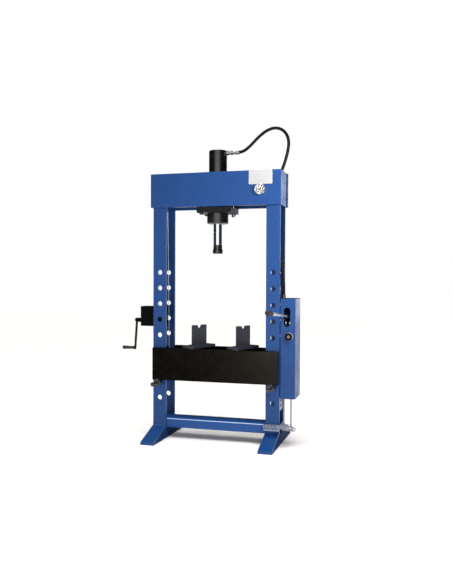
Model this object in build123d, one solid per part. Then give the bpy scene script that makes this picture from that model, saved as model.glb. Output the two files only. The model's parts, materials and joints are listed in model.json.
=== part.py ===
from build123d import *
import math
import os

os.makedirs("parts", exist_ok=True)

# ---------------------------------------------------------------- driving dimensions, mm
# origin on the floor, midway between the columns and midway through the frame's depth
# +Z up, +Y to the rear, X across the press
COLUMN_X = 387.0            # centre of each column
BAR_W, BAR_T = 90.0, 15.0   # flat bar of the uprights
BAR_Y = 90.0                # outer face of the bars from the middle plane
BAR_TOP = 1760.0
HOLE_R, HOLE_Z0, HOLE_PITCH, HOLE_N = 17.0, 272.5, 105.0, 9
TOE_Y, TOE_Z, BEND_Z = 310.0, 17.0, 87.0
HEAD_Z0, HEAD_Z1, HEAD_T = 1543.0, 1765.0, 25.0
HEAD_HALF_FRONT, HEAD_HALF_REAR = 441.5, 445.0
RAM_X = -8.0                # resting place of the cylinder carriage
BARREL_R, BORE_R, ROD_R = 60.0, 47.5, 28.5
PISTON_Z0, PISTON_Z1 = 1800.0, 1860.0
ROD_END_Z, NOSE_Z0 = 1296.0, 1238.0
TABLE_Z0, TABLE_Z1, TABLE_HALF, TABLE_Y0, TABLE_T = 394.6, 608.6, 427.5, 93.0, 25.0
PIN_R, PIN_Z = 16.9, 377.5
PULLEY_X, PULLEY_Z, PULLEY_TREAD, ROPE_R = 317.0, 540.0, 31.7, 2.0
ROPE_PULLEY_R = 34.0        # rope centre line round a table pulley
SHEAVE_X, SHEAVE_Z, ROPE_SHEAVE_R = -396.0, 1600.0, 30.0
SHAFT_Z = 785.0             # winch crank shaft
MODULE, PINION_N, GEAR_N = 1.5, 12, 36
DRUM_Y = -16.0
DRUM_Z = SHAFT_Z + math.sqrt(36.0 ** 2 - 16.0 ** 2)
BOX_X0, BOX_X1, BOX_Y0, BOX_Y1, BOX_Z0, BOX_Z1, SHEET = 436.0, 533.0, -90.0, 100.0, 306.0, 943.0, 3.0
LEVER_X, LEVER_Y, LEVER_Z = 477.3, -30.0, 829.0
LEVER_END = (427.7, -439.9, 870.9)
VALVE_X, VALVE_Z = 494.0, 704.8
PEDAL_X, PEDAL_Z, LINK_X, LINK_Z, ROD_Y = 501.0, 117.0, 455.0, 120.0, -48.0
HOSE_X, HOSE_Y = 450.0, -49.0   # where the hose enters the pump box
HOSE_R = 10.0


def box(x0, x1, y0, y1, z0, z1):
    return Pos((x0 + x1) / 2, (y0 + y1) / 2, (z0 + z1) / 2) * Box(abs(x1 - x0), abs(y1 - y0), abs(z1 - z0))


def cyl_x(r, x0, x1, y, z):
    return Pos((x0 + x1) / 2, y, z) * Rot(0, 90, 0) * Cylinder(r, abs(x1 - x0))


def cyl_y(r, x, y0, y1, z):
    return Pos(x, (y0 + y1) / 2, z) * Rot(90, 0, 0) * Cylinder(r, abs(y1 - y0))


def cyl_z(r, x, y, z0, z1):
    return Pos(x, y, (z0 + z1) / 2) * Cylinder(r, abs(z1 - z0))


def hex_z(af, x, y, z0, z1):
    face = Pos(x, y, z0) * RegularPolygon(af / math.sqrt(3), 6)
    return extrude(face, z1 - z0)


def hex_x(af, x0, x1, y, z):
    return Pos(x0, y, z) * Rot(0, 90, 0) * extrude(RegularPolygon(af / math.sqrt(3), 6), x1 - x0)


def hex_y(af, x, y0, y1, z):
    return Pos(x, y1, z) * Rot(90, 0, 0) * extrude(RegularPolygon(af / math.sqrt(3), 6), y1 - y0)


def poly_yz(points, x0, x1):
    face = make_face(Polyline(*[(x0, y, z) for y, z in points], close=True))
    return extrude(face, x1 - x0, dir=(1, 0, 0))


def poly_xz(points, y0, y1):
    face = make_face(Polyline(*[(x, y0, z) for x, z in points], close=True))
    return extrude(face, y1 - y0, dir=(0, 1, 0))


def turned(profile, x, y, z=0.0):
    """A turned piece about a vertical axis; profile is (radius, height)."""
    face = make_face(Polyline(*[(r, 0, h) for r, h in profile], close=True))
    return Pos(x, y, z) * revolve(face, Axis.Z)


def turned_y(profile, x, z):
    """A turned piece about an axis along Y; profile is (radius, y)."""
    face = make_face(Polyline(*[(r, y, 0) for r, y in profile], close=True))
    return Pos(x, 0, z) * revolve(face, Axis.Y)


def turned_x(profile, y, z):
    """A turned piece about an axis along X; profile is (radius, x)."""
    face = make_face(Polyline(*[(x, r, 0) for r, x in profile], close=True))
    return Pos(0, y, z) * revolve(face, Axis.X)


def save(name, shape, *more):
    solids = list(shape.solids())
    for item in more:
        solids += list(item.solids())
    out = solids[0] if len(solids) == 1 else Compound(children=solids)
    out.label = name
    export_step(out, "parts/" + name + ".step")


# ---------------------------------------------------------------- uprights, each folded into its foot
def upright(front, side):
    s = -1.0 if front else 1.0
    pts = [(BAR_Y, BAR_TOP), (BAR_Y, BEND_Z), (TOE_Y, TOE_Z), (TOE_Y, 0), (298, 0), (298, 8.3),
           (75, 79.2), (75, BAR_TOP)]
    x0 = side * COLUMN_X - BAR_W / 2
    body = poly_yz([(s * y, z) for y, z in pts], x0, x0 + BAR_W)
    bend = [e for e in body.edges().filter_by(Axis.X)
            if abs(abs(e.center().Y) - BAR_Y) < 0.1 and abs(e.center().Z - BEND_Z) < 0.1]
    body = fillet(bend, 14)
    for i in range(HOLE_N):
        body -= cyl_y(HOLE_R, side * COLUMN_X, s * 70, s * 95, HOLE_Z0 + i * HOLE_PITCH)
    if front:
        # shallow chevron weld line under the lowest hole
        for h in (-1, 1):
            groove = Pos(side * COLUMN_X + h * 22.5, -BAR_Y, 234) * Rot(0, -h * 37, 0) * Box(57, 3.6, 4.4)
            body -= groove
    return body


for front, fname in ((True, "front"), (False, "rear")):
    for side, sname in ((-1, "left"), (1, "right")):
        save("upright_%s_%s" % (fname, sname), upright(front, side))

# foot side plates close both flanks of each foot under the folded slopes
side_pts = [(-298, 0), (-298, 8.3), (-75, 79.2), (-75, 73), (75, 73), (75, 79.2), (298, 8.3), (298, 0)]
save("foot_side_plates", *[poly_yz(side_pts, x, x + 8) for x in (-432, -350, 342, 424)])

# lower cross member: sheet folded into a channel, open downward
channel = box(-432, 432, -75, 75, 73, 133)
channel = fillet([e for e in channel.edges().filter_by(Axis.X) if e.center().Z > 132], 11)
channel -= fillet([e for e in box(-433, 433, -69, 69, 60, 127).edges().filter_by(Axis.X) if e.center().Z > 126], 5)
save("lower_cross_member", channel)

# ---------------------------------------------------------------- head
plate = box(-HEAD_HALF_FRONT, HEAD_HALF_FRONT, -BAR_Y - HEAD_T, -BAR_Y, HEAD_Z0, HEAD_Z1)
plate = chamfer([e for e in plate.edges().filter_by(Axis.X) if e.center().Y < -114 and e.center().Z < 1544], 4)
save("head_front_plate", plate)
plate = box(-HEAD_HALF_REAR, HEAD_HALF_REAR, BAR_Y, BAR_Y + HEAD_T, HEAD_Z0, HEAD_Z1)
plate = chamfer([e for e in plate.edges().filter_by(Axis.X) if e.center().Y > 114 and e.center().Z < 1544], 4)
save("head_rear_plate", plate)
save("head_end_plates", box(-440, -432, -90, 90, HEAD_Z0, HEAD_Z1), box(432, 440, -90, 90, HEAD_Z0, HEAD_Z1))
save("carriage_rails", box(-330, 330, -90, -70, 1560, 1580), box(-330, 330, 70, 90, 1560, 1580))
label = box(231.6, 385.9, -117, -115, 1675, 1765)
label = fillet(label.edges().filter_by(Axis.Y), 3)
save("label_plate", label)

# pressure gauge: cup-shaped case with rim, dial, pane and needle
gx, gz = 309.5, 1640.4
save("gauge_case", turned_y([(0, -115), (33, -115), (33, -132), (34.5, -134), (34.5, -138), (33, -140),
                             (31, -140), (31, -118), (0, -118)], gx, gz))
save("gauge_dial", turned_y([(0, -118), (30.8, -118), (30.8, -133), (0, -133)], gx, gz))
save("gauge_lens", turned_y([(0, -137), (30.9, -137), (30.9, -138.5), (0, -138.5)], gx, gz))
needle = box(-2.2, 24, -135.2, -134.4, -0.9, 0.9) + box(-10, 2, -135.2, -134.4, -2.0, 2.0) \
    + cyl_y(3.6, 0, -136.0, -134.2, 0)
save("gauge_needle", Pos(gx, 0, gz) * Rot(0, 135, 0) * needle)

# ---------------------------------------------------------------- rope sheave, anchor
flange, tread = 33.0, 28.0 - 0.3
save("head_sheave", turned_y([(8.05, -8), (flange, -8), (flange, -5), (tread + 2, -3), (tread, -2.4),
                              (tread, 2.4), (tread + 2, 3), (flange, 5), (flange, 8), (8.05, 8)],
                             SHEAVE_X, SHEAVE_Z))
# two equal cross pins between the uprights: the left one carries the sheave, the right one the rope's end
save("rope_cross_pins", cyl_y(8, SHEAVE_X, -75, 75, SHEAVE_Z), cyl_y(8, PULLEY_X + ROPE_PULLEY_R, -75, 75, 1608))

# ---------------------------------------------------------------- winch on the left column
wb = (-541.0, -380.0, -50.0, 50.0, 747.0, 882.0)
housing = fillet(box(*wb).edges().filter_by(Axis.X), 6)
housing -= box(wb[0] + 3, wb[1] - 3, wb[2] + 3, wb[3] - 3, wb[4] + 3, wb[5] - 3)
housing -= cyl_x(8.06, -545, -535, 0, SHAFT_Z)
housing -= cyl_x(6.06, -390, -378, 0, SHAFT_Z)
housing -= cyl_x(8.06, -545, -535, DRUM_Y, DRUM_Z)
housing -= cyl_x(8.06, -390, -378, DRUM_Y, DRUM_Z)
housing -= box(-440, -398, -12, 12, 875, 890)
housing += box(-430, -392, -75, -50, 830, 874) + box(-430, -392, 50, 75, 830, 874)
save("winch_housing", housing)


def tooth_points(n, addendum, dedendum, thin):
    """Outline of a spur gear with involute flanks, first tooth centred on angle 0."""
    rp = MODULE * n / 2
    rb, ra, rf = rp * math.cos(math.radians(20)), rp + addendum * MODULE, rp - dedendum * MODULE
    inv = lambda a: math.tan(a) - a
    half = math.pi / (2 * n) - thin / (2 * rp) + inv(math.radians(20))
    pts = []
    for k in range(n):
        c = 2 * math.pi * k / n
        radii = [rf] + [max(rb, rf) + (ra - max(rb, rf)) * t / 4 for t in range(5)]
        flank = []
        for r in radii:
            a = math.acos(min(1.0, rb / r)) if r > rb else 0.0
            flank.append((r, half - inv(a)))
        for r, h in flank:
            pts.append((r * math.cos(c - h), r * math.sin(c - h)))
        for r, h in reversed(flank):
            pts.append((r * math.cos(c + h), r * math.sin(c + h)))
    return pts


def gear_x(n, addendum, dedendum, thin, phase, x0, x1, y, z):
    """Gear about an axis along X; phase is the first tooth's angle from +Y towards +Z."""
    pts = [(p * math.cos(phase) - q * math.sin(phase), p * math.sin(phase) + q * math.cos(phase))
           for p, q in tooth_points(n, addendum, dedendum, thin)]
    face = make_face(Polyline(*[(x0, y + a, z + b) for a, b in pts], close=True))
    return extrude(face, x1 - x0, dir=(1, 0, 0))


toward = math.atan2(DRUM_Z - SHAFT_Z, DRUM_Y)          # from crank shaft to drum, +Y towards +Z
pinion = gear_x(PINION_N, 1.0, 1.35, 0.2, toward, -482, -464, 0, SHAFT_Z)
gear = gear_x(GEAR_N, 0.75, 1.3, 0.2, toward + math.pi + math.pi / GEAR_N, -480, -466, DRUM_Y, DRUM_Z)
drum = gear + cyl_x(8, -541, -380, DRUM_Y, DRUM_Z) + cyl_x(13.7, -466, -398, DRUM_Y, DRUM_Z) \
    + cyl_x(24, -446, -442, DRUM_Y, DRUM_Z) + cyl_x(24, -402, -398, DRUM_Y, DRUM_Z)
save("winch_drum", drum)

crank = pinion + cyl_x(8, -596, -490, 0, SHAFT_Z) + cyl_x(6, -490, -380, 0, SHAFT_Z) + cyl_x(15, -597, -543.5, 0, SHAFT_Z)
ax0, az0, ax1, az1 = -590.0, SHAFT_Z, -603.0, 592.0
length = math.hypot(ax1 - ax0, az1 - az0)
tilt = math.degrees(math.atan2(ax0 - ax1, az0 - az1))
bar = fillet(Box(7, 24, length + 24).edges().filter_by(Axis.X), 11)
crank += Pos((ax0 + ax1) / 2, 0, (az0 + az1) / 2) * Rot(0, tilt, 0) * bar
crank += cyl_x(5, -692, -600, 0, az1)
save("winch_crank", crank)
grip = turned_x([(5.08, -608.5), (9.5, -608.5), (11, -611), (10.5, -640), (12, -672), (13, -688), (11, -695),
                 (0, -695), (0, -692.6), (5.08, -692.6)], 0, az1)
save("crank_grip", grip)

# ---------------------------------------------------------------- lifting rope
rope_top_in, rope_top_out = SHEAVE_X - ROPE_SHEAVE_R, SHEAVE_X + ROPE_SHEAVE_R
up = Line((rope_top_in, 0, 830.5), (rope_top_in, 0, SHEAVE_Z))
over = ThreePointArc((rope_top_in, 0, SHEAVE_Z), (SHEAVE_X, 0, SHEAVE_Z + ROPE_SHEAVE_R),
                     (rope_top_out, 0, SHEAVE_Z))
save("lift_rope_head", sweep(Plane((rope_top_in, 0, 830.5), z_dir=(0, 0, 1)) * Circle(ROPE_R), path=Wire([up, over])))


def rod_between(a, b, r):
    v = Vector(*b) - Vector(*a)
    return extrude(Plane(origin=a, z_dir=v) * Circle(r), v.length)


RUN_LOW_X = -PULLEY_X - ROPE_PULLEY_R
save("lift_rope_runs", rod_between((rope_top_out, 0, SHEAVE_Z - 0.3), (RUN_LOW_X, 0, PULLEY_Z + 0.3), ROPE_R),
     rod_between((PULLEY_X + ROPE_PULLEY_R, 0, PULLEY_Z + 0.3), (PULLEY_X + ROPE_PULLEY_R, 0, SHEAVE_Z - 0.3), ROPE_R))
c45 = ROPE_PULLEY_R * math.sqrt(0.5)
low = PULLEY_Z - ROPE_PULLEY_R
left_arc = ThreePointArc((-PULLEY_X - ROPE_PULLEY_R, 0, PULLEY_Z), (-PULLEY_X - c45, 0, PULLEY_Z - c45),
                         (-PULLEY_X, 0, low))
flat = Line((-PULLEY_X, 0, low), (PULLEY_X, 0, low))
right_arc = ThreePointArc((PULLEY_X, 0, low), (PULLEY_X + c45, 0, PULLEY_Z - c45),
                          (PULLEY_X + ROPE_PULLEY_R, 0, PULLEY_Z))
save("lift_rope_table", sweep(Plane((-PULLEY_X - ROPE_PULLEY_R, 0, PULLEY_Z), z_dir=(0, 0, -1)) * Circle(ROPE_R),
                              path=Wire([left_arc, flat, right_arc])))

# ---------------------------------------------------------------- table
for side, sname in ((-1, "front"), (1, "rear")):
    y0, y1 = sorted((side * TABLE_Y0, side * (TABLE_Y0 + TABLE_T)))
    beam = box(-TABLE_HALF, TABLE_HALF, y0, y1, TABLE_Z0, TABLE_Z1)
    beam = chamfer(beam.edges().filter_by(Axis.X), 1.5)
    save("table_beam_" + sname, beam)
# round cross bars between the two beams: two carry the pulleys, three tie the beams
save("table_cross_bars", cyl_y(9, -PULLEY_X, -93, 93, PULLEY_Z), cyl_y(9, PULLEY_X, -93, 93, PULLEY_Z),
     *[cyl_y(22, x, -93, 93, 450) for x in (-200, 0, 200)])
for side, sname in ((-1, "left"), (1, "right")):
    t = PULLEY_TREAD
    save("table_pulley_" + sname,
         turned_y([(9.05, -9), (t + 6, -9), (t + 6, -6), (t + 2, -3.2), (t, -2.5), (t, 2.5), (t + 2, 3.2),
                   (t + 6, 6), (t + 6, 9), (9.05, 9)], side * PULLEY_X, PULLEY_Z))


def v_block(x, y):
    base = fillet(box(-45, 45, -120, 120, 0, 18).edges().filter_by(Axis.Z), 3)
    web = box(-9, 9, -67.5, 67.5, 18, 151.4)
    web -= extrude(Plane.YZ * make_face(Polyline((-29.5, 152), (0, 115.4), (29.5, 152), close=True)), 20, both=True)
    web = chamfer([e for e in web.edges().filter_by(Axis.X) if e.center().Z > 150 and abs(e.center().Y) > 60], 1.5)
    return Pos(x, y, TABLE_Z1) * Rot(0, 0, -22) * (base + web)


save("v_block_left", v_block(-137, 0))
save("v_block_right", v_block(168.5, 0))

for side, sname in ((-1, "left"), (1, "right")):
    save("table_pin_" + sname, turned_y(
        [(0, 125), (PIN_R - 3, 125), (PIN_R, 122), (PIN_R, -127), (25, -127), (25, -139), (23.5, -141), (9, -141),
         (9, -200), (11.5, -202), (14, -208), (14, -217), (11.5, -223), (8, -225), (0, -225)],
        side * COLUMN_X, PIN_Z))

# ---------------------------------------------------------------- cylinder carriage
bearing = fillet(box(-127, 111, -95, 95, 1505, 1541).edges().filter_by(Axis.Z), 4)
bearing -= cyl_z(BARREL_R + 0.1, RAM_X, 0, 1500, 1545)
bolt_at = [(x, y) for x in (-104, 88) for y in (-58, 58)]
for x, y in bolt_at:
    bearing -= cyl_z(8.1, x, y, 1500, 1545)
save("bearing_plate", bearing)
slide = box(-118, 102, -86, 86, 1580.3, 1602)
slide -= cyl_z(BARREL_R + 0.1, RAM_X, 0, 1575, 1605)
for x, y in bolt_at:
    slide -= cyl_z(8.1, x, y, 1575, 1605)
save("slide_plate", slide)
save("carriage_bolts", *[cyl_z(8, x, y, 1505, 1612) + hex_z(24, x, y, 1495, 1505) + hex_z(24, x, y, 1602, 1614)
                         for x, y in bolt_at])
barrel = turned([(BORE_R, 1505), (BARREL_R, 1505), (BARREL_R, 1917), (BARREL_R - 3, 1920), (0, 1920), (0, 1890),
                 (BORE_R, 1890)], RAM_X, 0)
barrel += hex_z(14, RAM_X - 22, 0, 1920, 1927) + cyl_z(4, RAM_X - 22, 0, 1927, 1931)
barrel -= cyl_x(9.1, 30, 60, 0, 1904)
save("cylinder_barrel", barrel)
save("cylinder_port_fitting", cyl_x(9, 38, 54, 0, 1904) + hex_x(26, 52, 72, 0, 1904) + cyl_x(10, 72, 80, 0, 1904)
     + hex_x(24, 80, 96, 0, 1904) + cyl_x(12, 96, 115, 0, 1904) - cyl_x(4, 36, 118, 0, 1904))
gland = turned([(ROD_R + 0.06, 1436), (66, 1436), (71.5, 1442), (71.5, 1505), (ROD_R + 0.06, 1505)], RAM_X, 0)
save("gland_housing", gland)
clamp = box(97, 113, -112, -72, 1487, 1505) + box(111, 154, -112, -72, 1487, 1526)
clamp = fillet([e for e in clamp.edges().filter_by(Axis.Y) if e.center().X > 150 and e.center().Z > 1520], 8)
clamp -= cyl_z(6.1, 126, -100, 1480, 1530)
save("carriage_clamp_block", clamp)
save("clamp_screw", cyl_z(6, 126, -100, 1480, 1541.5) + cyl_z(11, 126, -100, 1469, 1486.5))

save("piston", turned([(15, PISTON_Z0), (BORE_R - 0.06, PISTON_Z0), (BORE_R - 0.06, 1820), (BORE_R - 4, 1820),
                       (BORE_R - 4, 1826), (BORE_R - 0.06, 1826), (BORE_R - 0.06, PISTON_Z1), (15, PISTON_Z1)],
                      RAM_X, 0))
save("piston_rod", turned([(0, ROD_END_Z - 30), (12, ROD_END_Z - 30), (12, ROD_END_Z), (ROD_R, ROD_END_Z),
                           (ROD_R, PISTON_Z0), (14.95, PISTON_Z0), (14.95, 1858), (0, 1858)], RAM_X, 0))
save("ram_nose", turned([(0, NOSE_Z0), (31.5, NOSE_Z0), (33.5, NOSE_Z0 + 2), (33.5, 1262), (29.5, 1269), (29.5, 1294),
                         (28, ROD_END_Z), (12.06, ROD_END_Z), (12.06, ROD_END_Z - 30.5), (0, ROD_END_Z - 30.5)],
                        RAM_X, 0))
coil_pitch = (PISTON_Z0 - 1505 - 9.4) / 8
helix = Helix(pitch=coil_pitch, height=8 * coil_pitch, radius=38)
coil = sweep(Plane(origin=helix @ 0, z_dir=helix % 0) * Circle(4.5), path=helix, is_frenet=True)
save("return_spring", Pos(RAM_X, 0, 1505 + 4.7) * coil)

# ---------------------------------------------------------------- pump box on the right column
shell = fillet(box(BOX_X0, BOX_X1, BOX_Y0, BOX_Y1, BOX_Z0, BOX_Z1).edges().filter_by(Axis.Z), 4)
shell -= box(BOX_X0 + SHEET, BOX_X1 - SHEET, BOX_Y0 + SHEET, BOX_Y1 - SHEET, BOX_Z0 + SHEET, BOX_Z1 + 1)
for z in (785.8, 869.2):
    shell -= cyl_y(20.8, 480.3, BOX_Y0 - 2, BOX_Y0 + 5, z)
shell -= box(459.5, 501.1, BOX_Y0 - 2, BOX_Y0 + 5, 785.8, 869.2)
shell -= cyl_y(12, VALVE_X, BOX_Y0 - 2, BOX_Y0 + 5, VALVE_Z)
shell -= cyl_z(6.3, LINK_X, ROD_Y, BOX_Z0 - 2, BOX_Z0 + 5)
save("pump_box", shell)
lid = fillet(box(BOX_X0, BOX_X1, BOX_Y0, BOX_Y1, BOX_Z1, BOX_Z1 + 3).edges().filter_by(Axis.Z), 4)
lid += box(BOX_X0 + 3.2, BOX_X1 - 3.2, BOX_Y0 + 3.2, BOX_Y0 + 5.2, BOX_Z1 - 12, BOX_Z1)
lid -= cyl_z(9.2, HOSE_X, HOSE_Y, BOX_Z1 - 2, BOX_Z1 + 6)
save("pump_lid", lid)
# fitting through the lid, with its steel pipe down to the pump
save("hose_fitting", cyl_z(9, HOSE_X, HOSE_Y, 920, 946) + cyl_z(12.5, HOSE_X, HOSE_Y, 946, 949)
     + cyl_z(4, HOSE_X, HOSE_Y, 760, 920))

block = box(439, 520, -55, 60, 640, 760) + box(455, 462.7, -45, -15, 760, 845) + box(491.3, 499, -45, -15, 760, 845)
block += box(462, 498, -60, -55, 740, 760) + box(462, 473, -60, -55, 760, 797) + box(487, 498, -60, -55, 760, 797)
block -= cyl_x(7.06, 450, 505, LEVER_Y, LEVER_Z)
block -= cyl_z(8.06, LEVER_X, -2, 665, 765)
block -= cyl_y(5.06, VALVE_X, -60, -35, VALVE_Z)
block -= cyl_z(6.1, LINK_X, ROD_Y, 635, 662)
save("pump_block", block)
save("oil_tank", box(439, 523, -30, 85, 309, 600) - box(442, 520, -27, 82, 312, 597))

dx, dy, dz = (LEVER_END[0] - LEVER_X, LEVER_END[1] - LEVER_Y, LEVER_END[2] - LEVER_Z)
n = math.sqrt(dx * dx + dy * dy + dz * dz)
ux, uy, uz = dx / n, dy / n, dz / n


def on_lever(t):
    return (LEVER_X + ux * t, LEVER_Y + uy * t, LEVER_Z + uz * t)


def lever_turned(profile):
    """Turned about the lever's own line; profile is (radius, distance from the pivot)."""
    face = make_face(Polyline(*[(r, 0, t) for r, t in profile], close=True))
    return Plane(origin=(LEVER_X, LEVER_Y, LEVER_Z), x_dir=(1, 0, 0), z_dir=(ux, uy, uz)) * revolve(face, Axis.Z)


socket = cyl_x(11, 463.2, 490.8, LEVER_Y, LEVER_Z) + cyl_x(7, 452, 502, LEVER_Y, LEVER_Z) + lever_turned([(0, 0), (10, 0), (10, 44), (0, 44)])
socket += box(473.3, 481.3, -30, -2, 824, 834)
socket += cyl_x(4, 464.5, 490.1, -2, LEVER_Z)
socket -= lever_turned([(0, 14), (5.5, 14), (5.5, 60), (0, 60)])
save("lever_socket", socket)
save("hand_lever", lever_turned([(0, 14.2), (5.5, 14.2), (5.5, 95), (6.8, 125), (8.4, 180), (10, 240), (11.2, 290),
                                 (11.6, 340), (11.6, n - 10), (0, n - 10)]))
save("lever_grip", lever_turned([(11.65, n - 78), (13.4, n - 78), (14.6, n - 75), (16, n - 50), (17.6, n - 22),
                                 (17.8, n - 12), (16.4, n - 4), (13, n), (0, n), (0, n - 9.9), (11.65, n - 9.9)]))

cheek = box(465, 469, -18, 9, 800, 843) - box(464, 470, -14.2, 4.2, 822.5, 835.5)
plunger = cheek + Pos(20.6, 0, 0) * cheek + box(465, 489.6, -18, 9, 794, 800) + cyl_z(8, LEVER_X, -2, 690, 794)
save("pump_plunger", plunger)
# release knob: bevelled hand knob with eight scallops round its rim, on the valve's stem
knob = turned_y([(0, -36), (5, -36), (5, -91), (20, -91), (27, -93), (27.5, -96), (26.5, -100), (20.5, -113), (18.5, -115),
                 (11, -115), (11, -111), (0, -111)], VALVE_X, VALVE_Z)
for i in range(8):
    a = math.radians(22.5 + 45 * i)
    knob -= cyl_y(7, VALVE_X + 32.5 * math.cos(a), -92, -120, VALVE_Z + 32.5 * math.sin(a))
save("release_knob", knob)

# mounting bracket between column and box: one plate, its narrower lower end hangs below the box
save("pump_bracket", poly_yz([(-60, 900), (98, 900), (98, 330), (0, 296), (0, 228), (-89, 228), (-89, 308), (-60, 330)],
                             432, 436))

# ---------------------------------------------------------------- pedal
# sloping tread with two staggered rows of slots, an arm along the press's flank and an eye at its end
pedal = poly_yz([(-165, 112), (-165, 119), (-100, 138), (-94, 138), (-94, 131.7), (-100, 131.7), (-159, 114.5), (-159, 112)],
                324, 446)
pedal -= extrude(make_face(Polyline((320, -90, 100), (324.4, -90, 100), (348, -167, 100), (320, -167, 100), close=True)), 60,
                 dir=(0, 0, 1))
pedal += poly_yz([(-132, 122.3), (-132, 128.6), (-100, 138), (-56, 138), (-56, 131.7), (-100, 131.7)], 438, 488)
pedal -= box(437, 468, -74, -62, 125, 140)
pedal += poly_xz([(440, 96), (440, 138), (470, 132), (520, 121), (520, 94.5)], -62, -56) + cyl_y(13.3, 520, -62, -56, 107.8)
for y0, y1, first in ((-121.5, -101, 343.0), (-156.5, -133, 355.5)):
    for col in range(4):
        pedal -= box(first + col * 21.8 - 6.4, first + col * 21.8 + 6.4, y0, y1, 105, 145)
pedal -= cyl_y(6.05, PEDAL_X, -70, -50, PEDAL_Z)
pedal -= cyl_y(6.0, LINK_X, -70, -50, LINK_Z)
pedal -= cyl_y(6.5, 522, -70, -50, 107.8)
save("pedal", pedal)


def foot_rod(x, top, hole_z, drop):
    """Round rod flattened to an eye at its lower end."""
    eye = cyl_y(11, x, -55.6, -50.6, hole_z) + box(x - 8, x + 8, -55.6, -50.6, hole_z, hole_z + 24)
    eye += box(x - 6, x + 6, -55.6, -46, hole_z + 18, hole_z + 34)
    return eye + cyl_z(6, x, ROD_Y, hole_z + 24, top) + cyl_y(drop, x, -66, -55.6, hole_z) + cyl_y(9, x, -70, -66, hole_z)


save("link_rod", foot_rod(LINK_X, 650, LINK_Z, 5.0))
save("hanger_rod", foot_rod(PEDAL_X, BOX_Z0, PEDAL_Z, 6.0))

# ---------------------------------------------------------------- hose: straight runs joined by tangent arcs
hose_route = [(115, 0, 1904), (147, 0, 1904), (181, 0, 1918), (218, 0, 1948), (270, 0, 2001), (325, 0, 2040),
              (378, 0, 2054), (426, 0, 2039), (460, 0, 1999), (470, 0, 1944), (458, 0, 1876), (437, 0, 1808),
              (412, 2, 1748), (400, 2, 1688), (393, 0, 1628), (390, -3, 1568), (389, 0, 1508), (391, 3, 1448),
              (393, 3, 1388), (400, 0, 1328), (410, -5, 1268), (422, -14, 1208), (433, -24, 1150), (442, -34, 1098),
              (448, -43, 1050), (HOSE_X, HOSE_Y, 1002), (HOSE_X, HOSE_Y, 949)]
radii = []
for i in range(1, len(hose_route) - 1):
    a, b, c = (Vector(*hose_route[j]) for j in (i - 1, i, i + 1))
    u, v = b - a, c - b
    turn = math.radians(u.get_angle(v))
    radii.append(0.45 * min(u.length, v.length) / math.tan(turn / 2))
print("hose radii", [round(r) for r in radii])
line = FilletPolyline(*hose_route, radius=radii)
start = Plane(origin=hose_route[0], z_dir=line % 0)
hose = sweep(start * Circle(HOSE_R), path=line)
print("hose volume", hose.volume, "section x length", math.pi * HOSE_R ** 2 * line.length, "length", line.length)
save("hose", hose)
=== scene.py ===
import bpy
import bmesh
import json
import math
from mathutils import Matrix, Vector


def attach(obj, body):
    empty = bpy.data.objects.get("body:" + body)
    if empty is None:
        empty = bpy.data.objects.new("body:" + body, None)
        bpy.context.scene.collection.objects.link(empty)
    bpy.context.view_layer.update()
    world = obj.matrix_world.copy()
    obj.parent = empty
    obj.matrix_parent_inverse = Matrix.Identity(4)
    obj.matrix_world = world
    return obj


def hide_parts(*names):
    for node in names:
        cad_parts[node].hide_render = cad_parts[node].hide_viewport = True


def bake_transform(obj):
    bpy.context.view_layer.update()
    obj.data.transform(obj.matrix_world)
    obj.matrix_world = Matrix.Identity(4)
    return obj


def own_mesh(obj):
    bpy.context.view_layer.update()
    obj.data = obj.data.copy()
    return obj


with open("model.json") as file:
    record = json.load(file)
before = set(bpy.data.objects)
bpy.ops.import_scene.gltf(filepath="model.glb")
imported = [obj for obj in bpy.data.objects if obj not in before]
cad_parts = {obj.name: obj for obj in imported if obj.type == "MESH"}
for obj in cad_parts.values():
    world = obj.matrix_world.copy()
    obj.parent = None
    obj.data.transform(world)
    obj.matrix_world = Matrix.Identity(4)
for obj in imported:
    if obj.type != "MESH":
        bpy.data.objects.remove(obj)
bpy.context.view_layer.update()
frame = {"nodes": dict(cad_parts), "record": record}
scene = bpy.context.scene
nodes_by_name = frame["nodes"]

# ------------------------------------------------------------------ camera at the photograph's viewing angle
yaw, pitch, roll = math.radians(15.975), math.radians(1.116), math.radians(0.210)
fwd = Vector((-math.sin(yaw) * math.cos(pitch), math.cos(yaw) * math.cos(pitch), -math.sin(pitch)))
right = Vector((math.cos(yaw), math.sin(yaw), 0.0))
up = right.cross(fwd)
r2 = math.cos(roll) * right + math.sin(roll) * up
u2 = -math.sin(roll) * right + math.cos(roll) * up
cam_data = bpy.data.cameras.new("camera")
cam = bpy.data.objects.new("camera", cam_data)
scene.collection.objects.link(cam)
m = Matrix((r2, u2, -fwd)).transposed().to_4x4()
m.translation = Vector((1.2627, -4.2361, 1.0689))
cam.matrix_world = m
cam_data.sensor_fit = "VERTICAL"
cam_data.sensor_height = 36.0
cam_data.lens = 40.81
cam_data.clip_end = 100.0
scene.camera = cam


# ------------------------------------------------------------------ small mesh helpers
def link(name, mesh):
    ob = bpy.data.objects.new(name, mesh)
    scene.collection.objects.link(ob)
    return ob


def mesh_from(name, verts, faces, smooth=True):
    me = bpy.data.meshes.new(name)
    me.from_pydata([tuple(v) for v in verts], [], faces)
    me.update()
    bm = bmesh.new()
    bm.from_mesh(me)
    bmesh.ops.recalc_face_normals(bm, faces=bm.faces)
    bm.to_mesh(me)
    bm.free()
    for p in me.polygons:
        p.use_smooth = smooth
    return link(name, me)


def sharpen(ob, degrees=35):
    me = ob.data
    bm = bmesh.new()
    bm.from_mesh(me)
    for e in bm.edges:
        if len(e.link_faces) == 2 and e.calc_face_angle(0.0) > math.radians(degrees):
            e.smooth = False
    bm.to_mesh(me)
    bm.free()
    return ob


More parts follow.
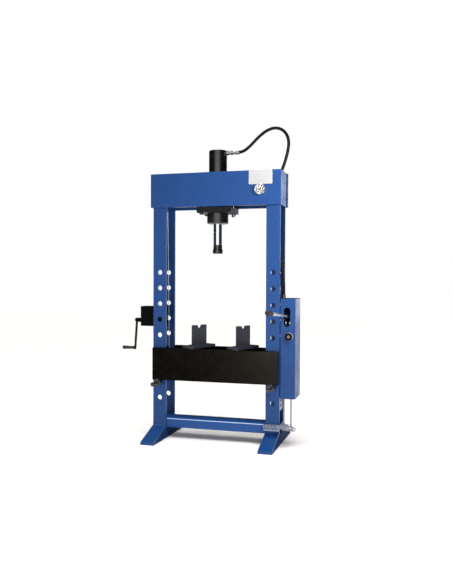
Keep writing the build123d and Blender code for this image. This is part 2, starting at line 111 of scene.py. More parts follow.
def tube(name, points, radius, sides=16, radius_at=None, cap=True):
    """A round tube round a list of points, with a frame carried along without twist."""
    pts = [Vector(p) for p in points]
    tangents = []
    for i in range(len(pts)):
        a, b = pts[max(i - 1, 0)], pts[min(i + 1, len(pts) - 1)]
        tangents.append((b - a).normalized())
    n = tangents[0].orthogonal().normalized()
    verts, faces = [], []
    for i, (p, t) in enumerate(zip(pts, tangents)):
        if i:
            n = (tangents[i - 1].rotation_difference(t) @ n)
            n = (n - n.dot(t) * t).normalized()
        b = t.cross(n)
        r = radius_at(i) if radius_at else radius
        for k in range(sides):
            a = 2 * math.pi * k / sides
            verts.append(p + r * (math.cos(a) * n + math.sin(a) * b))
    for i in range(len(pts) - 1):
        for k in range(sides):
            k2 = (k + 1) % sides
            faces.append((i * sides + k, i * sides + k2, (i + 1) * sides + k2, (i + 1) * sides + k))
    if cap:
        faces.append(tuple(range(sides))[::-1])
        faces.append(tuple((len(pts) - 1) * sides + k for k in range(sides)))
    return mesh_from(name, verts, faces)


def lathe(name, profile, origin, axis="Z", steps=48):
    """Turned piece: profile is (radius, along) in metres about an axis through origin."""
    verts, faces = [], []
    n = len(profile)
    for s in range(steps):
        a = 2 * math.pi * s / steps
        c, d = math.cos(a), math.sin(a)
        for r, h in profile:
            p = {"Z": (r * c, r * d, h), "Y": (r * c, h, r * d), "X": (h, r * c, r * d)}[axis]
            verts.append(Vector(origin) + Vector(p))
    for s in range(steps):
        t = (s + 1) % steps
        for i in range(n - 1):
            faces.append((s * n + i, t * n + i, t * n + i + 1, s * n + i + 1))
    ob = mesh_from(name, verts, faces)
    bm = bmesh.new()
    bm.from_mesh(ob.data)
    bmesh.ops.remove_doubles(bm, verts=bm.verts, dist=1e-6)
    bmesh.ops.recalc_face_normals(bm, faces=bm.faces)
    bm.to_mesh(ob.data)
    bm.free()
    return sharpen(ob)


def bevel(ob, width, segments=2):
    mod = ob.modifiers.new("bevel", "BEVEL")
    mod.width = width
    mod.segments = segments
    mod.limit_method = "ANGLE"
    mod.angle_limit = math.radians(40)
    dg = bpy.context.evaluated_depsgraph_get()
    me = bpy.data.meshes.new_from_object(ob.evaluated_get(dg))
    ob.modifiers.clear()
    ob.data = me
    return ob


def spline_points(name, route, resolution=12):
    """Points along the smooth NURBS line that has the route as its control points."""
    cu = bpy.data.curves.new(name, "CURVE")
    cu.dimensions = "3D"
    sp = cu.splines.new("NURBS")
    sp.points.add(len(route) - 1)
    for q, p in zip(sp.points, route):
        q.co = (p[0], p[1], p[2], 1.0)
    sp.order_u = 3
    sp.use_endpoint_u = True
    sp.resolution_u = resolution
    cu.resolution_u = resolution
    ob = bpy.data.objects.new(name, cu)
    scene.collection.objects.link(ob)
    bpy.context.view_layer.update()
    dg = bpy.context.evaluated_depsgraph_get()
    me = bpy.data.meshes.new_from_object(ob.evaluated_get(dg))
    pts = [Vector(v.co) for v in me.vertices]
    bpy.data.objects.remove(ob)
    bpy.data.curves.remove(cu)
    bpy.data.meshes.remove(me)
    return pts


# ------------------------------------------------------------------ hose: same route as its CAD tube
HOSE_ROUTE = [(115, 0, 1904), (147, 0, 1904), (181, 0, 1918), (218, 0, 1948), (270, 0, 2001), (325, 0, 2040),
              (378, 0, 2054), (426, 0, 2039), (460, 0, 1999), (470, 0, 1944), (458, 0, 1876), (437, 0, 1808),
              (412, 2, 1748), (400, 2, 1688), (393, 0, 1628), (390, -3, 1568), (389, 0, 1508), (391, 3, 1448),
              (393, 3, 1388), (400, 0, 1328), (410, -5, 1268), (422, -14, 1208), (433, -24, 1150), (442, -34, 1098),
              (448, -43, 1050), (450, -49, 1002), (450, -49, 949)]
hose_line = spline_points("hose_line", [(x / 1000, y / 1000, z / 1000) for x, y, z in HOSE_ROUTE])
hose_length = sum((b - a).length for a, b in zip(hose_line, hose_line[1:]))
hose = tube("hydraulic_hose", hose_line, 0.0099, sides=20)
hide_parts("hose")
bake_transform(hose)

# ------------------------------------------------------------------ lifting rope and return spring


def twisted_rope(name, points, radius, strands=6, pitch=0.024, step=0.0030):
    """A laid wire rope: one cross-section with lobes, turned steadily along the line."""
    pts = [Vector(p) for p in points]
    out = [pts[0]]
    for a, b in zip(pts, pts[1:]):
        n = max(1, int(round((b - a).length / step)))
        out += [a + (b - a) * (i / n) for i in range(1, n + 1)]
    pts = out
    tangents = [(pts[min(i + 1, len(pts) - 1)] - pts[max(i - 1, 0)]).normalized() for i in range(len(pts))]
    n = tangents[0].orthogonal().normalized()
    verts, faces, run = [], [], 0.0
    sides = strands * 3
    for i, (p, t) in enumerate(zip(pts, tangents)):
        if i:
            run += (p - pts[i - 1]).length
            n = tangents[i - 1].rotation_difference(t) @ n
            n = (n - n.dot(t) * t).normalized()
        b = t.cross(n)
        for k in range(sides):
            a = 2 * math.pi * k / sides + 2 * math.pi * run / pitch
            r = radius * (1.0 if k % 3 == 0 else 0.86)
            verts.append(p + r * (math.cos(a) * n + math.sin(a) * b))
    for i in range(len(pts) - 1):
        for k in range(sides):
            k2 = (k + 1) % sides
            faces.append((i * sides + k, i * sides + k2, (i + 1) * sides + k2, (i + 1) * sides + k))
    faces.append(tuple(range(sides))[::-1])
    faces.append(tuple((len(pts) - 1) * sides + k for k in range(sides)))
    return mesh_from(name, verts, faces)


def join(name, obs):
    bm = bmesh.new()
    for o in obs:
        bm.from_mesh(o.data)
    me = bpy.data.meshes.new(name)
    bm.to_mesh(me)
    bm.free()
    for o in obs:
        bpy.data.objects.remove(o)
    return link(name, me)


def arc(cx, cz, r, a0, a1, n=24):
    return [(cx + r * math.cos(math.radians(a0 + (a1 - a0) * i / n)), 0.0,
             cz + r * math.sin(math.radians(a0 + (a1 - a0) * i / n))) for i in range(n + 1)]


rope_head = twisted_rope("rope_over_sheave", [(-0.426, 0, 0.8305), (-0.426, 0, 1.6)]
                         + arc(-0.396, 1.6, 0.030, 180, 0)[1:], 0.002)
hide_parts("lift_rope_head")
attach(rope_head, "frame")
runs = join("rope_runs", [
    twisted_rope("run_a", [(-0.366, 0, 1.5997), (-0.351, 0, 0.5403)], 0.002),
    twisted_rope("run_b", [(0.351, 0, 0.5403), (0.351, 0, 1.5997)], 0.002)])
for p in runs.data.polygons:
    p.use_smooth = True
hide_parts("lift_rope_runs")
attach(runs, "frame")
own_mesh(runs)
rope_table = twisted_rope("rope_under_table", arc(-0.317, 0.54, 0.034, 180, 270) + arc(0.317, 0.54, 0.034, 270, 360),
                          0.002)
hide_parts("lift_rope_table")
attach(rope_table, "table")

coil_turns = 8.0
coil_pts = []
for i in range(8 * 40 + 1):
    a = 2 * math.pi * i / 40
    coil_pts.append((-0.008 + 0.038 * math.cos(a), 0.038 * math.sin(a), 1.5097 + (0.2856 / 320) * i))
spring = tube("ram_return_spring", coil_pts, 0.0045, sides=12)
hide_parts("return_spring")
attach(spring, "carriage")
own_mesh(spring)

# ------------------------------------------------------------------ materials, all procedural
def shader(name):
    mat = bpy.data.materials.new(name)
    mat.use_nodes = True
    nt = mat.node_tree
    nt.nodes.clear()
    out = nt.nodes.new("ShaderNodeOutputMaterial")
    bsdf = nt.nodes.new("ShaderNodeBsdfPrincipled")
    nt.links.new(bsdf.outputs["BSDF"], out.inputs["Surface"])
    return mat, nt, bsdf


def noise(nt, scale, detail=3.0, stretch=None, rough=0.5):
    co = nt.nodes.new("ShaderNodeTexCoord")
    tex = nt.nodes.new("ShaderNodeTexNoise")
    tex.inputs["Scale"].default_value = scale
    tex.inputs["Detail"].default_value = detail
    tex.inputs["Roughness"].default_value = rough
    if stretch:
        mp = nt.nodes.new("ShaderNodeMapping")
        mp.inputs["Scale"].default_value = stretch
        nt.links.new(co.outputs["Object"], mp.inputs["Vector"])
        nt.links.new(mp.outputs["Vector"], tex.inputs["Vector"])
    else:
        nt.links.new(co.outputs["Object"], tex.inputs["Vector"])
    return tex.outputs["Fac"]


def spread(nt, value, lo, hi, to_lo, to_hi):
    mr = nt.nodes.new("ShaderNodeMapRange")
    mr.inputs["From Min"].default_value = lo
    mr.inputs["From Max"].default_value = hi
    mr.inputs["To Min"].default_value = to_lo
    mr.inputs["To Max"].default_value = to_hi
    nt.links.new(value, mr.inputs["Value"])
    return mr.outputs["Result"]


def blend_colour(nt, fac, a, b):
    mx = nt.nodes.new("ShaderNodeMix")
    mx.data_type = "RGBA"
    nt.links.new(fac, mx.inputs[0])
    for sock, val in ((mx.inputs[6], a), (mx.inputs[7], b)):
        if isinstance(val, tuple):
            sock.default_value = (*val, 1.0)
        else:
            nt.links.new(val, sock)
    return mx.outputs[2]


def maths(nt, op, a, b):
    n = nt.nodes.new("ShaderNodeMath")
    n.operation = op
    n.use_clamp = True
    for sock, val in ((n.inputs[0], a), (n.inputs[1], b)):
        if isinstance(val, (int, float)):
            sock.default_value = val
        else:
            nt.links.new(val, sock)
    return n.outputs[0]


def finish_surface(nt, bsdf, colour, dark, light, edge, rough, rough_var, peel, peel_amount, soften, wear_and_sheen=0.6,
                   stretch=None):
    """Colour that drifts over the surface, edges paler as partly wear and partly a painted highlight, a fine skin and
    softened corners.
    """
    big = noise(nt, 3.1, 4.0)
    fine = noise(nt, 46.0, 5.0, stretch)
    base = blend_colour(nt, spread(nt, big, 0.35, 0.68, 0.0, 1.0), dark, colour)
    base = blend_colour(nt, spread(nt, fine, 0.42, 0.75, 0.0, 0.55), base, light)
    bev = nt.nodes.new("ShaderNodeBevel")
    bev.samples = 6
    bev.inputs["Radius"].default_value = soften
    if edge is not None:
        geo = nt.nodes.new("ShaderNodeNewGeometry")
        dot = nt.nodes.new("ShaderNodeVectorMath")
        dot.operation = "DOT_PRODUCT"
        nt.links.new(bev.outputs["Normal"], dot.inputs[0])
        nt.links.new(geo.outputs["Normal"], dot.inputs[1])
        # paler edges where the bevel normal turns away: partly wear, partly a painted highlight of edges catching light
        worn_and_lit_edge_mask = spread(nt, dot.outputs["Value"], 0.995, 0.80, 0.0, 1.0)
        patch = spread(nt, noise(nt, 24.0, 6.0, None, 0.65), 0.48, 0.66, 0.05, 1.0)
        base = blend_colour(nt, maths(nt, "MULTIPLY", maths(nt, "MULTIPLY", worn_and_lit_edge_mask, patch), wear_and_sheen), base, edge)
    nt.links.new(base, bsdf.inputs["Base Color"])
    nt.links.new(spread(nt, noise(nt, 11.0, 4.0), 0.3, 0.7, rough - rough_var, rough + rough_var),
                 bsdf.inputs["Roughness"])
    bump = nt.nodes.new("ShaderNodeBump")
    bump.inputs["Strength"].default_value = peel_amount
    bump.inputs["Distance"].default_value = 0.0006
    nt.links.new(noise(nt, peel, 2.0, stretch), bump.inputs["Height"])
    nt.links.new(bev.outputs["Normal"], bump.inputs["Normal"])
    nt.links.new(bump.outputs["Normal"], bsdf.inputs["Normal"])


def lin(r, g, b):
    return tuple(((c / 255) / 12.92 if c / 255 <= 0.04045 else (((c / 255) + 0.055) / 1.055) ** 2.4) for c in (r, g, b))


def painted(name, rgb, rough=0.34, var=0.07, edge=None, peel=520.0, amount=0.16, soften=0.0016, contrast=0.16,
            coat=0.0, wear_and_sheen=0.6, spec=0.5):
    mat, nt, bsdf = shader(name)
    c = lin(*rgb)
    dark = tuple(x * (1 - contrast) for x in c)
    light = tuple(min(1.0, x * (1 + contrast * 0.8) + 0.002) for x in c)
    finish_surface(nt, bsdf, c, dark, light, edge, rough, var, peel, amount, soften, wear_and_sheen)
    bsdf.inputs["Coat Weight"].default_value = coat
    bsdf.inputs["Specular IOR Level"].default_value = spec
    bsdf.inputs["Coat Roughness"].default_value = 0.18
    return mat


def metal(name, rgb, rough=0.25, var=0.06, stretch=None, peel=300.0, amount=0.12, soften=0.0008, contrast=0.10,
          edge=None):
    mat, nt, bsdf = shader(name)
    c = lin(*rgb)
    dark = tuple(x * (1 - contrast) for x in c)
    light = tuple(min(1.0, x * (1 + contrast)) for x in c)
    finish_surface(nt, bsdf, c, dark, light, edge, rough, var, peel, amount, soften, stretch=stretch)
    bsdf.inputs["Metallic"].default_value = 1.0
    return mat


M = {}
M["frame_blue"] = painted("frame_blue_paint", (25, 68, 128), rough=0.33, edge=lin(76, 116, 170), contrast=0.10,
                          wear_and_sheen=0.45, spec=0.26)
# pale blue used only as a painted highlight on the cross member's bend
M["painted_fold_highlight"] = painted("painted_fold_highlight_paint", (196, 214, 238), rough=0.4, contrast=0.1, spec=0.3)
# darker, rougher copy of the frame blue for the pump lid: painted shade on its top
M["lid_shaded_blue"] = painted("lid_shaded_blue_paint", (24, 56, 100), rough=0.55, edge=lin(90, 120, 165), contrast=0.10, wear_and_sheen=0.45,
                        spec=0.2)
# darker, nearly unreflective copy of the frame blue for the foot side plates: painted shade on their flanks
M["foot_plate_shaded"] = painted("foot_plate_shaded_paint", (24, 52, 92), rough=0.6, edge=lin(60, 85, 120), contrast=0.12, wear_and_sheen=0.3,
                          spec=0.02)
M["beam_black"] = painted("beam_black_paint", (2, 2, 1), rough=0.34, edge=lin(48, 46, 43), contrast=0.28, spec=0.02)
M["winch_black"] = painted("winch_black_paint", (6, 6, 6), rough=0.36, edge=lin(52, 52, 54), contrast=0.28, spec=0.05)
M["block_grey"] = painted("block_grey_paint", (50, 53, 60), rough=0.45, edge=lin(110, 112, 118), contrast=0.2,
                          peel=240.0, amount=0.3, soften=0.0008, spec=0.3)
M["cylinder_black"] = painted("cylinder_black_paint", (5, 5, 5), rough=0.27, edge=lin(70, 71, 74), contrast=0.2,
                              spec=0.9)
M["grey_metal"] = painted("grey_painted_metal", (132, 139, 154), rough=0.38, edge=lin(205, 208, 214), contrast=0.12)
M["chrome"] = metal("polished_chrome", (226, 229, 233), rough=0.09, var=0.03, amount=0.03, contrast=0.04)
M["steel"] = metal("turned_steel", (166, 168, 172), rough=0.30, var=0.08, stretch=(1.0, 1.0, 9.0), amount=0.22)
M["rope"] = metal("rope_steel", (196, 199, 204), rough=0.38, var=0.1, peel=900.0, amount=0.3)
M["hose_rubber"] = painted("hose_rubber", (7, 7, 8), rough=0.5, contrast=0.3, peel=1400.0, amount=0.35, soften=0.0005,
                           spec=0.15)
M["grip_plastic"] = painted("grip_plastic", (38, 39, 42), rough=0.5, contrast=0.22, peel=1100.0, amount=0.5, soften=0.0008,
                            edge=lin(78, 79, 82))
M["knob_face"] = painted("knob_face_black", (3, 3, 4), rough=0.4, contrast=0.2, edge=lin(30, 30, 32), soften=0.0008, spec=0.1)
M["knob_plastic"] = painted("knob_plastic", (14, 14, 15), rough=0.28, contrast=0.2, edge=lin(70, 70, 72), soften=0.0008)
M["knob_cap"] = painted("knob_cap", (136, 112, 96), rough=0.42, contrast=0.15, edge=lin(190, 168, 150), soften=0.0006)
M["plate_black"] = painted("plate_black_paint", (16, 16, 14), rough=0.36, edge=lin(60, 60, 58), contrast=0.25, spec=0.2)
M["lever_zinc"] = metal("zinc_plated_lever", (224, 230, 240), rough=0.5, var=0.06, amount=0.08, contrast=0.06)
M["label"] = painted("label_plate_paint", (180, 181, 181), rough=0.3, contrast=0.04, peel=200.0, amount=0.05,
                     edge=lin(170, 172, 172))
M["dial"] = painted("dial_face", (222, 219, 210), rough=0.45, contrast=0.05, peel=700.0, amount=0.04)
M["needle"] = painted("needle_black", (18, 18, 18), rough=0.35, contrast=0.2)
gm, gnt, gb = shader("gauge_pane")
gb.inputs["Transmission Weight"].default_value = 1.0
gb.inputs["IOR"].default_value = 1.45
gnt.links.new(spread(gnt, noise(gnt, 60.0, 4.0), 0.35, 0.7, 0.01, 0.07), gb.inputs["Roughness"])
gnt.links.new(blend_colour(gnt, noise(gnt, 30.0), (0.97, 0.985, 1.0), (1.0, 1.0, 1.0)), gb.inputs["Base Color"])
M["pane"] = gm

node_slot = {s["node"]: s["material_slot"] for s in frame["record"]["subparts"]}
# the pump plunger is given the black plate paint as painted shade for its place inside the pump box
own = {"pump_lid": "lid_shaded_blue", "foot_side_plates": "foot_plate_shaded", "winch_housing": "winch_black", "hand_lever": "lever_zinc",
       "pump_plunger": "plate_black", "bearing_plate": "plate_black", "carriage_clamp_block": "block_grey", "winch_crank": "winch_black"}
for name, ob in nodes_by_name.items():
    mat = M[own.get(name, node_slot[name])]
    if not ob.material_slots:
        ob.data.materials.append(mat)
    else:
        for s in ob.material_slots:
            s.material = mat
for ob, key in ((hose, "hose_rubber"), (rope_head, "rope"), (runs, "rope"), (rope_table, "rope"), (spring, "steel")):
    ob.data.materials.clear()
    ob.data.materials.append(M[key])

# ------------------------------------------------------------------ details that ride on the CAD bodies
def dress(ob, slot, body, key=None):
    ob.data.materials.clear()
    ob.data.materials.append(M[key or slot])
    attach(ob, body)
    return ob


def mm(*v):
    return Vector([x / 1000 for x in v])


def weld(name, a, b, r, body="frame", slot="frame_blue", pitch=3.2):
    """A fillet weld: a low rippled bead along an inner corner."""
    a, b = mm(*a), mm(*b)
    n = max(6, int((b - a).length / 0.0011))
    pts = [a + (b - a) * (i / n) for i in range(n + 1)]
    step = (b - a).length / n
    ob = tube(name, pts, r / 1000, sides=9,
              radius_at=lambda i: r / 1000 * (0.86 + 0.14 * abs(math.sin(math.pi * i * step * 1000 / pitch))
                                              - (0.35 if i in (0, n) else 0.0)))
    return dress(ob, slot, body)


def merge(name, obs, slot, body, key=None, smooth=True):
    ob = join(name, obs)
    for p in ob.data.polygons:
        p.use_smooth = smooth
    sharpen(ob)
    return dress(ob, slot, body, key)


def hexhead(centre, axis, af, height, washer=True):
    """Hexagon head with chamfered top, dished crown and a washer under it."""
    c = mm(*centre)
    ax = Vector(axis).normalized()
    u = ax.orthogonal().normalized()
    v = ax.cross(u)
    verts, faces = [], []
    r = af / 1000 / math.sqrt(3)
    rings = [(r, 0.0), (r, height * 0.82), (r * 0.90, height), (r * 0.55, height), (r * 0.50, height * 0.94), (0.0001, height * 0.94)]
    for rr, h in rings:
        for k in range(6):
            a = math.pi / 3 * k + 0.3
            verts.append(c + ax * (h / 1000) + rr * (math.cos(a) * u + math.sin(a) * v))
    for i in range(len(rings) - 1):
        for k in range(6):
            faces.append((i * 6 + k, i * 6 + (k + 1) % 6, (i + 1) * 6 + (k + 1) % 6, (i + 1) * 6 + k))
    faces.append(tuple(range(6))[::-1])
    faces.append(tuple(range(30, 36)))
    obs = [mesh_from("hexhead", verts, faces, smooth=False)]
    if washer:
        verts, faces = [], []
        for rr, h in ((r * 1.32, -0.4), (r * 1.32, 1.0), (r * 1.26, 1.4), (r * 0.6, 1.4), (r * 0.6, -0.4)):
            for k in range(28):
                a = 2 * math.pi * k / 28
                verts.append(c + ax * (h / 1000) + rr * (math.cos(a) * u + math.sin(a) * v))
        for i in range(5):
            for k in range(28):
                j = (i + 1) % 5
                faces.append((i * 28 + k, i * 28 + (k + 1) % 28, j * 28 + (k + 1) % 28, j * 28 + k))
        obs.append(mesh_from("washer", verts, faces))
    return join("bolt", obs)


# welds where the bars meet head and feet
for side, tag in ((-1, "left"), (1, "right")):
    x0, x1 = side * 387 - 44, side * 387 + 44
    weld("weld_head_front_" + tag, (x0, -91.2, 1541.6), (x1, -91.2, 1541.6), 3.4)
    weld("weld_head_rear_" + tag, (x0, 91.2, 1541.6), (x1, 91.2, 1541.6), 3.4)
    for y, t2 in ((-1, "front"), (1, "rear")):
        weld("weld_member_%s_%s" % (t2, tag), (side * 341.3, y * 75.8, 84), (side * 341.3, y * 75.8, 121), 2.6)
        weld("weld_member_top_%s_%s" % (t2, tag), (side * 387 - 43, y * 72.5, 132.6), (side * 387 + 43, y * 72.5, 132.6), 2.6)
        for x, t3 in ((side * 342, "inner"), (side * 432, "outer")):
            weld("weld_foot_%s_%s_%s" % (t2, tag, t3), (x, y * 296, 8.6), (x, y * 80, 77.5), 1.5)
    weld("weld_bar_inner_" + tag, (side * 432.4, -90.2, 1546), (side * 432.4, -90.2, 1758), 1.2)
for tag, cx in (("left", -128), ("right", 171)):
    obs = []
    for s in (-1, 1):
        a = math.radians(-22)
        q = []
        for yy in (-66, 66):
            x, y = s * 10.2, yy
            q.append((cx + x * math.cos(a) - y * math.sin(a), x * math.sin(a) + y * math.cos(a), 608.6 + 18.6))
        weld("weld_v_block_%s_%s" % (tag, "a" if s < 0 else "b"), q[0], q[1], 3.4, body="table", slot="block_grey")

# bolts: winch cover, pump bracket, pump cover, slot linkage
merge("winch_bolts", [hexhead((-541, y, z), (-1, 0, 0), 8, 4.5) for y in (-38, 38) for z in (760, 869)]
      + [hexhead((-520 + 60 * k, -50, z), (0, -1, 0), 7, 4.0) for k in (0, 1) for z in (757, 872)],
      "cylinder_black", "frame", "winch_black")
merge("bracket_bolts", [hexhead((436, -74, 262), (1, 0, 0), 9, 5)], "cylinder_black", "frame")
dress(lathe("bracket_stop", [(0.0, 0.0), (0.0045, 0.0), (0.0045, 0.014), (0.0078, 0.0145), (0.0085, 0.0155), (0.0085, 0.0210),
                             (0.0078, 0.0220), (0.0, 0.0220)], (0.4355, -0.028, 0.284), "X", 32), "steel", "frame")
merge("pump_cover_screws", [hexhead((x, 100, z), (0, 1, 0), 7, 3.2) for x in (450, 519) for z in (325, 625, 925)],
      "frame_blue", "frame")
merge("linkage_bolts", [hexhead((x, -60, 792), (0, -1, 0), 7, 4.5, washer=False) for x in (467.3, 492.2)], "chrome", "frame")
dress(lathe("release_face", [(0.0108, 0.0), (0.0108, -0.0046), (0.0226, -0.0056), (0.0238, -0.0048), (0.0242, -0.0034), (0.0236, -0.0022),
                             (0.0172, -0.0020)], (0.494, -0.1112, 0.7048), "Y", 48), "knob_plastic", "release_knob", "knob_face")
dress(lathe("release_cap", [(0.0, -0.0035), (0.0045, -0.0035), (0.0052, -0.0028), (0.0070, -0.0030), (0.0098, -0.0022),
                            (0.0106, -0.0006), (0.0106, 0.0002)], (0.494, -0.1112, 0.7048), "Y", 40), "knob_plastic",
      "release_knob", "knob_cap")
merge("pedal_bolt", [lathe("pedal_washer", [(0.0, 0.0), (0.0105, 0.0), (0.0105, -0.0018), (0.0098, -0.0024), (0.0, -0.0024)],
                           (0.478, -0.062, 0.112), "Y", 32), hexhead((478, -64, 112), (0, -1, 0), 10, 4, washer=False)],
      "steel", "pedal")
# a thin pale bead along the cross member's front top bend: a painted highlight standing in for light caught by the bend
fold_highlight = lathe("member_fold_painted_highlight", [(0.0, 0.0), (0.0020, 0.0006), (0.0020, 0.6794), (0.0, 0.68)], (-0.34, -0.0723, 0.1293), "X", 16)
dress(fold_highlight, "frame_blue", "frame", "painted_fold_highlight")
merge("crank_nut", [hexhead((-597, 0, 785), (-1, 0, 0), 15, 8)], "steel", "winch_crank")

# crimped ferrules at both ends of the hose
ferrule = [(0.0102, 0.0), (0.0128, 0.0004), (0.0132, 0.003), (0.0124, 0.005), (0.0132, 0.007), (0.0132, 0.011),
           (0.0124, 0.013), (0.0132, 0.015), (0.0132, 0.020), (0.0118, 0.0225), (0.0102, 0.0228)]
dress(lathe("hose_ferrule_press", ferrule, (0.1152, 0, 1.904), "X"), "steel", "carriage")
dress(lathe("hose_ferrule_pump", ferrule, (0.450, -0.049, 0.9492), "Z"), "cylinder_black", "frame")

# rope eye and sleeve on the right cross pin
eye = [(0.351 + 0.0102 * math.sin(a), 0.0, 1.608 - 0.0102 * math.cos(a)) for a in
       [2 * math.pi * i / 36 for i in range(37)]]
dress(twisted_rope("rope_eye", eye, 0.002), "rope", "frame")
dress(lathe("rope_sleeve", [(0.0021, -0.034), (0.0045, -0.033), (0.0052, -0.028), (0.0052, -0.006), (0.0045, -0.001),
                            (0.0021, 0.0)], (0.351, 0, 1.5965), "Z", 24), "steel", "frame")

# gauge: scale, numbers and bezel ring
GX, GZ = 0.3095, 1.6404
ticks = []
for i in range(51):
    ang = math.radians(225 - 270 * i / 50)
    major = i % 10 == 0
    r0, r1, w = (0.0215, 0.0270, 0.00045) if major else (0.0243, 0.0270, 0.00022)
    d, s = Vector((math.cos(ang), 0, math.sin(ang))), Vector((-math.sin(ang), 0, math.cos(ang)))
    base = Vector((GX, -0.1332, GZ))
    v = [base + d * r0 + s * w, base + d * r1 + s * w, base + d * r1 - s * w, base + d * r0 - s * w]
    v += [p + Vector((0, 0.0004, 0)) for p in v]
    ticks.append(mesh_from("tick", v, [(0, 1, 2, 3), (4, 7, 6, 5), (0, 4, 5, 1), (1, 5, 6, 2), (2, 6, 7, 3), (3, 7, 4, 0)],
                           smooth=False))
merge("gauge_scale", ticks, "needle", "frame", smooth=False)
numbers = []
for i, word in enumerate(("0", "10", "20", "30", "40", "50")):
    ang = math.radians(225 - 270 * i / 5)
    cu = bpy.data.curves.new("number", "FONT")
    cu.body = word
    cu.size = 0.0062
    cu.extrude = 0.00012
    cu.align_x = "CENTER"
    cu.align_y = "CENTER"
    ob = bpy.data.objects.new("number", cu)
    scene.collection.objects.link(ob)
    ob.matrix_world = Matrix.Translation((GX + 0.0170 * math.cos(ang), -0.1332, GZ + 0.0170 * math.sin(ang))) \
        @ Matrix.Rotation(math.radians(90), 4, "X")
    bpy.context.view_layer.update()
    dg = bpy.context.evaluated_depsgraph_get()
    me = bpy.data.meshes.new_from_object(ob.evaluated_get(dg))
    me.transform(ob.matrix_world)
    bpy.data.objects.remove(ob)
    numbers.append(link("number", me))
merge("gauge_numbers", numbers, "needle", "frame", smooth=False)
dress(lathe("gauge_bezel", [(0.0300, 0.0), (0.0310, -0.0012), (0.0335, -0.0016), (0.0344, -0.0004), (0.0344, 0.0016),
                            (0.0335, 0.0022)], (GX, -0.1394, GZ), "Y", 72), "chrome", "frame")

# rings and a collar on the lever grip
LX, LY, LZ = 0.4773, -0.030, 0.829
end = Vector((0.4277, -0.4399, 0.8709))
axis = (end - Vector((LX, LY, LZ)))
length = axis.length
axis = axis / length
rings = []
for k in range(5):
    t = length - 0.066 + 0.0115 * k
    c = Vector((LX, LY, LZ)) + axis * t
    g = 0.0150 + 0.00052 * k
    o = lathe("ring", [(g - 0.0006, -0.0024), (g + 0.0006, -0.0016), (g + 0.0009, 0.0), (g + 0.0006, 0.0016), (g - 0.0006, 0.0024)],
              (0, 0, 0), "Z", 40)
    o.data.transform(Matrix.Translation(c) @ axis.to_track_quat("Z", "Y").to_matrix().to_4x4())
    rings.append(o)
merge("lever_grip_rings", rings, "grip_plastic", "hand_lever")
c = Vector((LX, LY, LZ)) + axis * (length - 0.081)
o = lathe("lever_collar", [(0.0112, -0.003), (0.0122, -0.0026), (0.0128, 0.0), (0.0128, 0.0026), (0.0112, 0.003)], (0, 0, 0), "Z", 40)
o.data.transform(Matrix.Translation(c) @ axis.to_track_quat("Z", "Y").to_matrix().to_4x4())
dress(o, "chrome", "hand_lever", "lever_zinc")

# ------------------------------------------------------------------ floor and light
floor = mesh_from("studio_floor", [(-14, -12, 0), (14, -12, 0), (14, 14, 0), (-14, 14, 0)], [(0, 1, 2, 3)], smooth=False)
fmat = bpy.data.materials.new("studio_floor")
fmat.use_nodes = True
fnt = fmat.node_tree
fb = fnt.nodes["Principled BSDF"]
fb.inputs["Base Color"].default_value = (0.88, 0.855, 0.835, 1)
fb.inputs["Roughness"].default_value = 0.75
fb.inputs["Emission Color"].default_value = (1.0, 0.93, 0.88, 1)
fb.inputs["Emission Strength"].default_value = 0.10
floor.data.materials.append(fmat)

FRONT, REAR, TOP, DARK = 1.7, 2.3, 0.18, 0.03
world = bpy.data.worlds.new("studio")
scene.world = world
world.use_nodes = True
wnt = world.node_tree
bg = wnt.nodes["Background"]
lp = wnt.nodes.new("ShaderNodeLightPath")
wco = wnt.nodes.new("ShaderNodeTexCoord")
wdot = wnt.nodes.new("ShaderNodeVectorMath")
wdot.operation = "DOT_PRODUCT"
wdot.inputs[1].default_value = (0.146, -0.989, 0.0)
wnt.links.new(wco.outputs["Generated"], wdot.inputs[0])
wxyz = wnt.nodes.new("ShaderNodeSeparateXYZ")
wnt.links.new(wco.outputs["Generated"], wxyz.inputs[0])


def soft_step(value, lo, hi, level):
    mr = wnt.nodes.new("ShaderNodeMapRange")
    mr.interpolation_type = "SMOOTHSTEP"
    for key, v in (("From Min", lo), ("From Max", hi), ("To Min", 0.0), ("To Max", level)):
        mr.inputs[key].default_value = v
    wnt.links.new(value, mr.inputs["Value"])
    return mr.outputs["Result"]


def larger(a, b):
    n = wnt.nodes.new("ShaderNodeMath")
    n.operation = "MAXIMUM"
    wnt.links.new(a, n.inputs[0])
    if isinstance(b, float):
        n.inputs[1].default_value = b
    else:
        wnt.links.new(b, n.inputs[1])
    return n.outputs[0]


def product(a, b):
    n = wnt.nodes.new("ShaderNodeMath")
    n.operation = "MULTIPLY"
    wnt.links.new(a, n.inputs[0])
    wnt.links.new(b, n.inputs[1])
    return n.outputs[0]


# a low bright band in front and behind, a dim ceiling and dark sides
wrear = wnt.nodes.new("ShaderNodeVectorMath")
wrear.operation = "DOT_PRODUCT"
wrear.inputs[1].default_value = (0.139, 0.990, 0.0)
wnt.links.new(wco.outputs["Generated"], wrear.inputs[0])
front_band = product(soft_step(wdot.outputs["Value"], 0.72, 0.98, FRONT), soft_step(wxyz.outputs["Z"], 0.42, 0.22, 1.0))
rear_band = product(soft_step(wrear.outputs["Value"], 0.965, 0.990, REAR), soft_step(wxyz.outputs["Z"], 0.26, 0.14, 1.0))
room = larger(larger(front_band, rear_band), larger(soft_step(wxyz.outputs["Z"], 0.45, 0.85, TOP), DARK))
wmx = wnt.nodes.new("ShaderNodeMix")
wnt.links.new(lp.outputs["Is Camera Ray"], wmx.inputs[0])
wnt.links.new(room, wmx.inputs[2])
wmx.inputs[3].default_value = 1.0
bg.inputs["Color"].default_value = (1.0, 1.0, 1.0, 1)
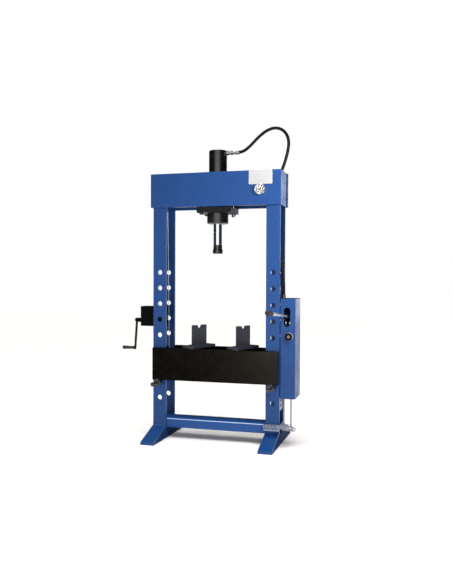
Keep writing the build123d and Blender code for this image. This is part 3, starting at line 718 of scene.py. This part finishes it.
wnt.links.new(wmx.outputs[0], bg.inputs["Strength"])
scene.view_settings.view_transform = "Standard"


def area(name, loc, target, size, energy, color=(1, 1, 1), size_y=None):
    la = bpy.data.lights.new(name, "AREA")
    la.energy = energy
    la.color = color
    la.size = size
    if size_y:
        la.shape = "RECTANGLE"
        la.size_y = size_y
    ob = bpy.data.objects.new(name, la)
    scene.collection.objects.link(ob)
    ob.location = loc
    ob.rotation_euler = (Vector(target) - Vector(loc)).to_track_quat("-Z", "Y").to_euler()
    ob.visible_camera = False
    return ob


def sun(name, energy, angle, direction):
    sd = bpy.data.lights.new(name, "SUN")
    sd.energy = energy
    sd.angle = math.radians(angle)
    so = bpy.data.objects.new(name, sd)
    scene.collection.objects.link(so)
    so.location = (0, 0, 5)
    so.rotation_euler = Vector(direction).to_track_quat("-Z", "Y").to_euler()
    return so


key = area("key_right", (1.25, -1.05, 1.75), (0.25, -0.1, 1.3), 0.6, 27)
area("low_front", (0.1, -3.3, 0.45), (0.1, 0, 0.45), 1.1, 3, size_y=0.8)
glow = area("beam_glow", (0.32, -3.3, 0.45), (0.1, 0, 0.45), 1.1, 240, (1.0, 0.88, 0.70), size_y=0.8)
sun("top_soft", 2.2, 36, (0.10, 0.12, -1.0))
# most of the top light is for the floor alone, so that the press isn't pale on top
member_light = area("member_fill", (0.0, -0.85, 1.95), (0.0, 0.0, 0.13), 0.6, 32)
floor_light = sun("top_floor", 1.0, 36, (0.10, 0.12, -1.0))


def only(light, objects):
    """Lets a light fall on these objects alone."""
    col = bpy.data.collections.new(light.name + "_receivers")
    for ob in objects:
        col.objects.link(ob)
    light.light_linking.receiver_collection = col


only(floor_light, [floor])
only(glow, [nodes_by_name["table_beam_front"]])
only(member_light, [nodes_by_name["lower_cross_member"], fold_highlight])
# the turned black and chrome pieces take their highlight from the room, not from the key
turned = {"upright_rear_left", "upright_rear_right", "head_rear_plate", "cylinder_barrel", "gland_housing", "piston_rod", "ram_nose"}
only(key, [ob for ob in scene.objects if ob.type == "MESH" and ob.name not in turned])
